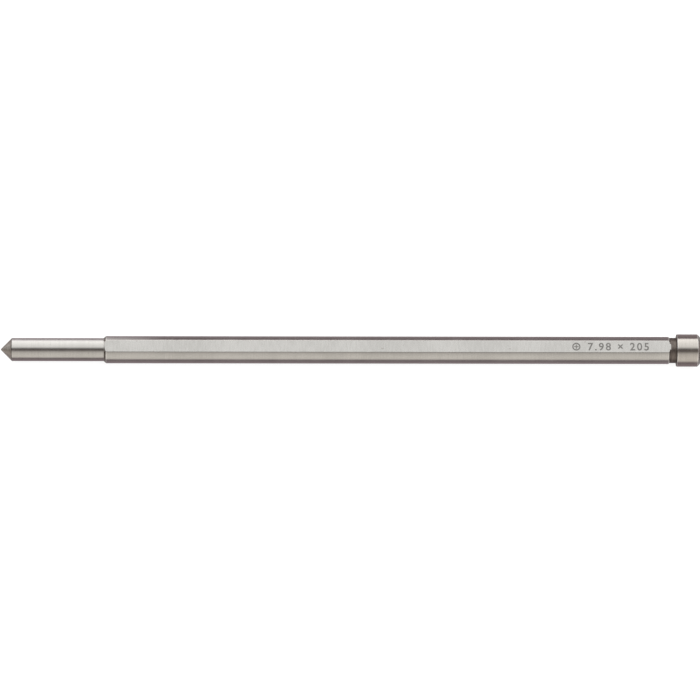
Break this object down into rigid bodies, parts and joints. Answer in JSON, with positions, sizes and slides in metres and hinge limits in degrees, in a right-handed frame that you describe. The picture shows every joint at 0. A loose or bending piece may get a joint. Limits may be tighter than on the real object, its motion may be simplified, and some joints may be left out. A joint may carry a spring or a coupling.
{
  "type": "pilot pin",
  "caption": "Pilot pin for an annular cutter: a ground steel bar with a cone-pointed nose, a long shank with flats, a relief neck and a chamfered flat-ended head.",
  "frame": {"origin": "centre of the flat end face of the head", "axes": "+X along the pin's axis, from the point to the head; +Z is the outward normal of one of the two coolant flats; +Y lies across the pin, parallel to the flats"},
  "size_m": [0.205, 0.0094, 0.0094],
  "materials": {
    "steel": "hardened tool steel, ground bright on the nose, shank, flats and head, and dark in the neck"
  },
  "bodies": {
    "root": {"pilot_pin": "steel"}
  },
  "joints": []
}
